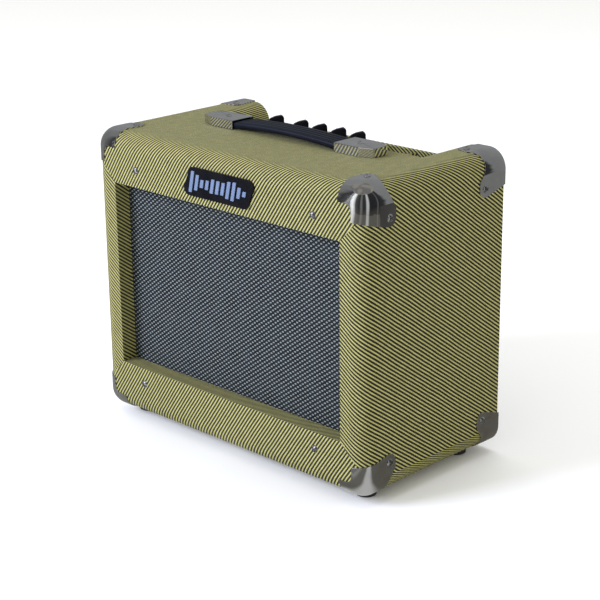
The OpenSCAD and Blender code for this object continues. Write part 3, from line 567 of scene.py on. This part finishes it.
rubber = moulded("foot_rubber_black", (0.014, 0.014, 0.014), (0.05, 0.048, 0.045), 0.72, 900.0, 0.08)
knob_black = moulded("knob_black", (0.004, 0.004, 0.007), (0.010, 0.010, 0.014), 0.30, 900.0, 0.02,
                     shine=0.25)
switch_black = moulded("switch_black", (0.018, 0.018, 0.019), (0.05, 0.05, 0.05), 0.42)
basket_black = moulded("basket_black", (0.022, 0.022, 0.023), (0.05, 0.05, 0.05), 0.38, 500.0, 0.06)
treated = moulded("treated_cloth", (0.055, 0.042, 0.030), (0.11, 0.085, 0.06), 0.8, 1100.0, 0.2)
board_black = timber("painted_fibreboard", (0.030, 0.030, 0.031), (0.017, 0.017, 0.018), (2, 2, 2), 0.62)
pine = timber("planed_pine", WOOD_PALE, WOOD_DEEP, (10.0, 10.0, 0.5))
plywood = timber("stained_plywood", (0.11, 0.08, 0.055), (0.045, 0.032, 0.022), (0.6, 8.0, 6.0))

PAINT = {
    chrome: [
        "corner_guards_top_front", "corner_guards_top_rear", "corner_guards_bottom_front",
        "corner_guards_bottom_rear", "handle_cap_left", "handle_cap_right",
    ],
    nickel: ["front_screws", "corner_screws", "foot_screws", "handle_screws", "back_screws",
             "panel_screws", "speaker_fixings"],
    zinc: ["chassis"],
    turned: ["potentiometer_bodies", "potentiometer_nuts", "input_jack", "phones_jack", "aux_jack",
             *[name + "_shaft" for name in KNOBS]],
    iron: ["transformer", "speaker_magnet"],
    badge_black: ["badge_plate"],
    badge_blue: ["badge_bars"],
    rubber: ["rubber_feet"],
    switch_black: ["boost_button", "boost_switch", "power_rocker", "power_switch", "mains_inlet"],
    basket_black: ["speaker_basket"],
    treated: ["speaker_suspension"],
    board_black: ["back_panel"],
    pine: ["back_cleats"],
    plywood: ["baffle_board"],
    panel_finish(): ["control_panel"],
    laminate(): ["circuit_board"],
    lens(): ["power_lamp"],
    pressed_paper("cone_paper_grey", (0.075, 0.075, 0.08), (0.035, 0.035, 0.038)): ["speaker_cone"],
    wound("copper_winding", (0.50, 0.22, 0.09), (0.62, 0.34, 0.16), 1): ["voice_coil"],
    tweed("tweed_sides", wrap_side, bare_side): ["side_panel_left", "side_panel_right"],
    tweed("tweed_top", wrap_top, bare_top): ["top_board"],
    tweed("tweed_bottom", wrap_bottom, bare_bottom): ["bottom_board"],
    tweed("tweed_cheeks", wrap_cheek): ["recess_cheek_left", "recess_cheek_right"],
    tweed("tweed_wall", wrap_wall): ["recess_front_wall"],
    tweed("tweed_rail", wrap_rail): ["rear_rail"],
}
for material, names in PAINT.items():
    for name in names:
        for slot in nodes[name].material_slots:
            slot.link = "OBJECT"
            slot.material = material


def soften(node, width_mm, segments=3, angle=40.0):
    """Rounds a CAD node's sharp edges with modifiers and leaves its mesh alone."""
    thing = nodes[node]
    weld = thing.modifiers.new("weld", "WELD")
    weld.merge_threshold = 0.00001
    bevel = thing.modifiers.new("bevel", "BEVEL")
    bevel.width = width_mm * MM
    bevel.segments = segments
    bevel.limit_method = "ANGLE"
    bevel.angle_limit = math.radians(angle)
    bevel.use_clamp_overlap = True
    bevel.harden_normals = True


for name in ("badge_plate", "badge_bars"):
    soften(name, 0.35)
for name in ("handle_cap_left", "handle_cap_right"):
    soften(name, 1.1, 4)
for name in ("top_front", "top_rear", "bottom_front", "bottom_rear"):
    soften("corner_guards_" + name, 0.45)

# ---- meshes ----


def ring_of(mesh, points):
    return [mesh.verts.new(Vector(p) * MM) for p in points]


def skin(mesh, rings, ends=True):
    """Faces between neighbouring rings of equal length, and over both ends."""
    for a, b in zip(rings, rings[1:]):
        for i in range(len(a)):
            j = (i + 1) % len(a)
            mesh.faces.new((a[i], a[j], b[j], b[i]))
    if ends:
        mesh.faces.new(rings[0][::-1])
        mesh.faces.new(rings[-1])


def finish_mesh(name, mesh, material, body, smooth_faces=True):
    data = bpy.data.meshes.new(name)
    mesh.to_mesh(data)
    mesh.free()
    for face in data.polygons:
        face.use_smooth = smooth_faces
    data.materials.append(material)
    thing = bpy.data.objects.new(name, data)
    scene.collection.objects.link(thing)
    if body:
        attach(thing, body)
    return thing


# ---- grille cloth ----

# The sheet's edges lie this far inside the CAD cloth's
HEM = 0.4
# How far the cloth swells forward at its middle, and its unevenness on top of that
CLOTH_SWELL = 0.25
CLOTH_RIPPLE = 0.12


def grille_sheet():
    """Cloth stretched over the baffle, tucked behind the frame and slightly uneven."""
    columns = 120
    rows = 84
    low, high = CLOTH_LOW, CLOTH_HIGH
    across = high[0] - low[0] - 2 * HEM
    up = high[2] - low[2] - 2 * HEM
    width = across * MM
    height = up * MM
    mesh = bmesh.new()
    grid = []
    for j in range(rows + 1):
        line = []
        for i in range(columns + 1):
            x = low[0] + HEM + across * i / columns
            z = low[2] + HEM + up * j / rows
            swell = math.sin(math.pi * i / columns) * math.sin(math.pi * j / rows)
            ripple = math.sin(x * 0.11 + z * 0.05) * math.sin(z * 0.09 - 0.4)
            y = (low[1] + high[1]) / 2 - CLOTH_SWELL * swell - CLOTH_RIPPLE * ripple * swell
            line.append((x, y, z))
        grid.append(ring_of(mesh, line))
    for j in range(rows):
        for i in range(columns):
            mesh.faces.new((grid[j][i], grid[j][i + 1], grid[j + 1][i + 1], grid[j + 1][i]))
    sheet = finish_mesh("grille_sheet", mesh, grille_finish(), "cabinet")
    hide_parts("grille_cloth")


grille_sheet()

# ---- carrying strap ----

STRAP_THICK = 7.6
STRAP_RISE = 3.0
STRAP_RIBS = 5
# How much thinner the strap's underside is at its middle
STRAP_THINNER = 1.1
# Depth of the grooves between its ribs, and how far its edges drop above and below
STRAP_GROOVE = 0.75
STRAP_DROP = 2.2
STRAP_UNDER_DROP = 1.6
# The strap starts to be squeezed and narrowed this far before the cap's mouth
STRAP_TUCK = 2.0


def rounded_edge(u, start):
    """How far the surface has dropped at u, from 0 before start to 1 at the edge."""
    edge = max(0.0, abs(u) - start) / (1.0 - start)
    return 1 - math.sqrt(max(0.0, 1 - edge * edge))


def strap_section(half):
    """Outline across the strap: ribs along the top, then the plain underside back."""
    top_steps = 60
    under_steps = 12
    section = []
    for i in range(top_steps + 1):
        u = -1 + 2 * i / top_steps
        rib = abs(math.cos(math.pi * STRAP_RIBS * (u + 1) / 2 * 0.96))
        groove = STRAP_GROOVE * (1 - rib ** 0.6)
        height = STRAP_THICK / 2 - groove - STRAP_DROP * rounded_edge(u, 0.86)
        section.append((u * half, height))
    for i in range(under_steps + 1):
        u = 1 - 2 * i / under_steps
        height = -STRAP_THICK / 2 + STRAP_UNDER_DROP * rounded_edge(u, 0.8) + 0.01
        section.append((u * half, height))
    return section


def strap_piece():
    """One arched strap with five rounded ribs along its top."""
    low, high = box_mm("handle_strap_right")
    end_x = high[0]
    mid_y = (low[1] + high[1]) / 2
    crown = high[2]
    mouth = box_mm("handle_cap_right")[0][0]
    section = strap_section((high[1] - low[1]) / 2)
    radius = (mouth * mouth + STRAP_RISE * STRAP_RISE) / (2 * STRAP_RISE)
    centre_z = crown - STRAP_THICK / 2 - radius
    stations = 64
    mesh = bmesh.new()
    rings = []
    for k in range(stations + 1):
        x = -end_x + 2 * end_x * k / stations
        inside = max(0.0, abs(x) - mouth + STRAP_TUCK)
        squeeze = 1.0 if inside <= 0 else max(0.62, 1.0 - inside * 0.12)
        narrow = 1.0 if inside <= 0 else 0.97
        if abs(x) > mouth:
            level = centre_z + math.sqrt(radius * radius - mouth * mouth)
            angle = math.copysign(math.asin(mouth / radius), x) * 0.3
        else:
            angle = math.asin(x / radius)
            level = centre_z + radius * math.cos(angle)
        thin = STRAP_THINNER * max(0.0, 1.0 - (x / mouth) ** 2)
        ring = []
        for side, height in section:
            h = height * squeeze + (thin if height < 0 else 0.0)
            ring.append((x + h * math.sin(angle), mid_y + side * narrow,
                         level + h * math.cos(angle)))
        rings.append(ring_of(mesh, ring))
    skin(mesh, rings)
    bmesh.ops.recalc_face_normals(mesh, faces=mesh.faces)
    strap = finish_mesh("carrying_strap", mesh, ribbed(), None)
    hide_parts("handle_strap_left", "handle_strap_right")
    mid_y * MM
    crown * MM
    mid_y * MM
    crown * MM
    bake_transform(strap)


strap_piece()

# ---- knobs ----

KNOB_R = 10.2
# Direction of the pointer at rest, about Z
KNOB_REST = math.radians(240.0)
# The turned skirt, as (radius, height) from the panel up
SKIRT_TOP = 5.0
KNOB_SKIRT = [
    (KNOB_R - 0.5, 0.0), (KNOB_R, 0.5), (KNOB_R, 3.4), (KNOB_R - 0.25, 4.1), (KNOB_R - 1.0, 4.7),
    (KNOB_R - 2.2, SKIRT_TOP),
]
# Height inside the skirt where the ridge starts, and half its width at the tail and at the nose
RIDGE_ROOT = 1.0
TAIL_HALF = 4.9
NOSE_HALF = 2.8
# The tail's and the nose's ends are narrowed over this share of the ridge's length
RIDGE_END = 0.06
# The ridge's top, as (share of its length from the tail, share of the knob's height)
RIDGE_TOP = [
    (0.0, 0.90), (0.05, 0.965), (0.12, 1.0), (0.5, 0.965), (0.78, 0.89), (0.90, 0.78), (0.97, 0.60),
    (1.0, 0.44),
]


def along_line(t, points):
    """Height at t of the straight lines through the given points."""
    for (a, low), (b, high) in zip(points, points[1:]):
        if t <= b:
            return low + (high - low) * (t - a) / (b - a)
    return points[-1][1]


def smoother(t, low, high):
    s = max(0.0, min(1.0, (t - low) / (high - low)))
    return s * s * (3 - 2 * s)


def sharp_by_angle(thing, degrees):
    limit = math.radians(degrees)
    mesh = bmesh.new()
    mesh.from_mesh(thing.data)
    for edge in mesh.edges:
        edge.smooth = len(edge.link_faces) == 2 and edge.calc_face_angle() < limit
    mesh.to_mesh(thing.data)
    mesh.free()


def ridge_section(t, height):
    """Outline across the ridge at share t of its length from the tail, as (side, height)."""
    top = height * along_line(t, RIDGE_TOP)
    half = TAIL_HALF - (TAIL_HALF - NOSE_HALF) * smoother(t, 0.1, 1.0)
    if t < RIDGE_END:
        half *= 0.86 + 0.14 * t / RIDGE_END
    if t > 1 - RIDGE_END:
        half *= 1.0 - 0.35 * (t - 1 + RIDGE_END) / RIDGE_END
    top_half = half * 0.60
    corner = min(1.6, top_half * 0.8)
    arc = 7
    outline = [(-half, RIDGE_ROOT), (-half * 0.93, SKIRT_TOP)]
    for sign, start in ((-1, math.pi), (1, math.pi / 2)):
        for i in range(arc + 1):
            a = start - math.pi / 2 * i / arc
            side = sign * (top_half - corner) + corner * math.cos(a)
            outline.append((side, top - corner + corner * math.sin(a)))
    return outline + [(half * 0.93, SKIRT_TOP), (half, RIDGE_ROOT)]


def knob_piece(name, x):
    """Pointer knob: a turned skirt under a ridge from a low nose to a tall rounded tail."""
    low, high = box_mm(name + "_knob")
    base = low[2]
    height = high[2] - base
    mesh = bmesh.new()
    turns = 56
    step = 2 * math.pi / turns
    skin(mesh, [
        ring_of(mesh, [(x + r * math.cos(step * i), KNOB_Y + r * math.sin(step * i), base + z)
                       for i in range(turns)])
        for r, z in KNOB_SKIRT
    ])
    stations = 26
    rings = []
    for k in range(stations + 1):
        t = k / stations
        along = (1.94 * t - 0.94) * KNOB_R
        ring = []
        for side, z in ridge_section(t, height):
            px = along * math.cos(KNOB_REST) - side * math.sin(KNOB_REST)
            py = along * math.sin(KNOB_REST) + side * math.cos(KNOB_REST)
            ring.append((x + px, KNOB_Y + py, base + z))
        rings.append(ring_of(mesh, ring))
    skin(mesh, rings)
    bmesh.ops.recalc_face_normals(mesh, faces=mesh.faces)
    knob = finish_mesh(name + "_pointer_knob", mesh, knob_black, name + "_control")
    sharp_by_angle(knob, 45.0)
    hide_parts(name + "_knob")


for name, knob_x in zip(KNOBS, KNOB_X):
    knob_piece(name, knob_x)

# ---- floor and lights ----


def floor():
    finish = Finish("studio_floor", Specular_IOR_Level=0.2)
    tone = finish.noise(1.5, 2.0)
    finish.colour(finish.mix(tone, (0.94, 0.94, 0.94), (0.965, 0.965, 0.965)))
    finish.roughness(tone * 0.1 + 0.75)
    mesh = bmesh.new()
    corners = [(-9, -9, 0), (9, -9, 0), (9, 9, 0), (-9, 9, 0)]
    mesh.faces.new([mesh.verts.new(c) for c in corners])
    thing = finish_mesh("floor", mesh, finish.material, None, False)


floor()


def area_light(name, place, target, size, power, colour=(1, 1, 1)):
    data = bpy.data.lights.new(name, "AREA")
    data.shape = "RECTANGLE"
    data.size = size[0]
    data.size_y = size[1]
    data.energy = power
    data.color = colour
    light = bpy.data.objects.new(name, data)
    light.location = place
    light.rotation_euler = (Vector(target) - Vector(place)).to_track_quat("-Z", "Y").to_euler()
    scene.collection.objects.link(light)


aim = (0.0, 0.0, 0.17)
area_light("window_left", (-1.3, -2.6, 1.5), aim, (1.3, 1.6), 104, (0.93, 0.98, 1.22))
area_light("overhead", (0.1, 0.6, 2.6), aim, (1.6, 1.2), 16, (0.97, 1.0, 1.12))

# ---- room that the polished pieces reflect, in metres ----

ROOM_R = 1.02
ROOM_TOP = 1.5
ROOM_BOTTOM = -0.005
# The room's ground lies just over the floor
ROOM_GROUND = 0.0006
# Height in millimetres at which the walls' plain tone has faded out
TONE_TOP = 160.0
BAND_GLOW = 1.5
# Brightness of the room's walls by their place round it, as (share of a turn, brightness)
WALL_BANDS = [
    (0.00, 0.17), (0.085, 0.15), (0.125, 0.03), (0.158, 0.06), (0.170, 0.34), (0.182, 0.07),
    (0.205, 0.75), (0.235, 1.0), (0.262, 0.55), (0.278, 0.07), (0.330, 0.02), (0.350, 0.16),
    (0.375, 0.02), (0.405, 0.03), (0.416, 0.45), (0.436, 0.45), (0.450, 0.01), (0.540, 0.01),
    (0.560, 0.09), (0.572, 0.01), (0.604, 0.02), (0.618, 0.17), (0.75, 0.20),
]


def glossy_only(thing):
    """Stage walls that only polished surfaces see."""
    thing.visible_camera = False
    thing.visible_diffuse = False
    thing.visible_shadow = False
    thing.visible_transmission = False


def glow(finish, colour, strength=1.0):
    """Plain emission in place of a lit surface."""
    finish.shader.inputs["Base Color"].default_value = (0, 0, 0, 1)
    finish.tree.links.new(colour, finish.shader.inputs["Emission Color"])
    finish.shader.inputs["Emission Strength"].default_value = strength
    return finish.material


def banded(name, share, tone):
    """Glow that follows WALL_BANDS, mixed near the floor with share of a plain tone."""
    finish = Finish(name, Roughness=1.0)
    x, y, z = finish.xyz()
    round_room = calc("ARCTAN2", y, x) * (0.5 / math.pi) + 0.5
    ramp = finish.tree.nodes.new("ShaderNodeValToRGB")
    finish.tree.links.new(round_room.socket, ramp.inputs["Fac"])
    stops = ramp.color_ramp.elements
    stops.remove(stops[1])
    for i, (place, shade) in enumerate(WALL_BANDS):
        stop = stops[0] if i == 0 else stops.new(place)
        stop.position = place
        stop.color = (shade * 0.93, shade * 0.97, shade, 1.0)
    near_floor = smooth(z, 0.0, TONE_TOP, share, 0.0)
    return glow(finish, finish.mix(near_floor, ramp.outputs["Color"], tone), BAND_GLOW)


def clouded(name, first, second):
    """Glow in two tones that run into each other."""
    finish = Finish(name, Roughness=1.0)
    return glow(finish, finish.mix(smooth(finish.noise(1.6, 0.0), 0.40, 0.60), first, second))


def room_ring(mesh, height, sides=96):
    step = 2 * math.pi / sides
    return [mesh.verts.new((ROOM_R * math.cos(step * i), ROOM_R * math.sin(step * i), height))
            for i in range(sides)]


def reflected_room():
    """Walls, ceiling and ground round the object that only its polished pieces see."""
    walls = banded("room_walls", 0.25, (0.11, 0.10, 0.08))
    ground = banded("room_ground", 0.30, (0.24, 0.23, 0.19))
    ceiling = clouded("room_ceiling", (0.33, 0.315, 0.29), (0.20, 0.20, 0.20))
    mesh = bmesh.new()
    skin(mesh, [room_ring(mesh, ROOM_BOTTOM), room_ring(mesh, ROOM_TOP)], ends=False)
    glossy_only(finish_mesh("room_walls", mesh, walls, None))
    for name, height, material in (("room_ceiling", ROOM_TOP, ceiling),
                                   ("room_ground", ROOM_GROUND, ground)):
        mesh = bmesh.new()
        mesh.faces.new(room_ring(mesh, height))
        glossy_only(finish_mesh(name, mesh, material, None))


reflected_room()

# ---- sky and camera ----

world = bpy.data.worlds.new("studio")
scene.world = world
world.use_nodes = True
sky = world.node_tree.nodes
place = sky.new("ShaderNodeTexCoord")
split = sky.new("ShaderNodeSeparateXYZ")
ramp = sky.new("ShaderNodeValToRGB")
world.node_tree.links.new(place.outputs["Generated"], split.inputs[0])
world.node_tree.links.new(split.outputs["Z"], ramp.inputs["Fac"])
world.node_tree.links.new(ramp.outputs["Color"], sky["Background"].inputs["Color"])
stops = ramp.color_ramp.elements
stops[0].position = 0.0
stops[0].color = (1.0, 0.985, 0.88, 1.0)
stops[1].position = 1.0
stops[1].color = (0.60, 0.60, 0.60, 1.0)
middle_stop = stops.new(0.28)
middle_stop.color = (0.95, 0.935, 0.85, 1.0)
sky["Background"].inputs["Strength"].default_value = 1.17


def make_camera():
    place = (1.2040, -1.2083, 0.7261)
    yaw = math.radians(44.67)
    pitch = math.radians(-18.59)
    roll = math.radians(-0.69)
    level = math.cos(pitch)
    forward = Vector((-math.sin(yaw) * level, math.cos(yaw) * level, math.sin(pitch)))
    right = Vector((math.cos(yaw), math.sin(yaw), 0.0))
    up = right.cross(forward)
    right_2 = right * math.cos(roll) + up * math.sin(roll)
    up_2 = up * math.cos(roll) - right * math.sin(roll)
    data = bpy.data.cameras.new("camera")
    data.lens = 99.46
    data.sensor_width = 36.0
    data.clip_start = 0.05
    data.clip_end = 60.0
    camera = bpy.data.objects.new("camera", data)
    turned_to = Matrix((right_2, up_2, -forward)).transposed().to_4x4()
    camera.matrix_world = Matrix.Translation(place) @ turned_to
    scene.collection.objects.link(camera)
    scene.camera = camera


make_camera()
scene.view_settings.view_transform = "Standard"
scene.view_settings.look = "None"
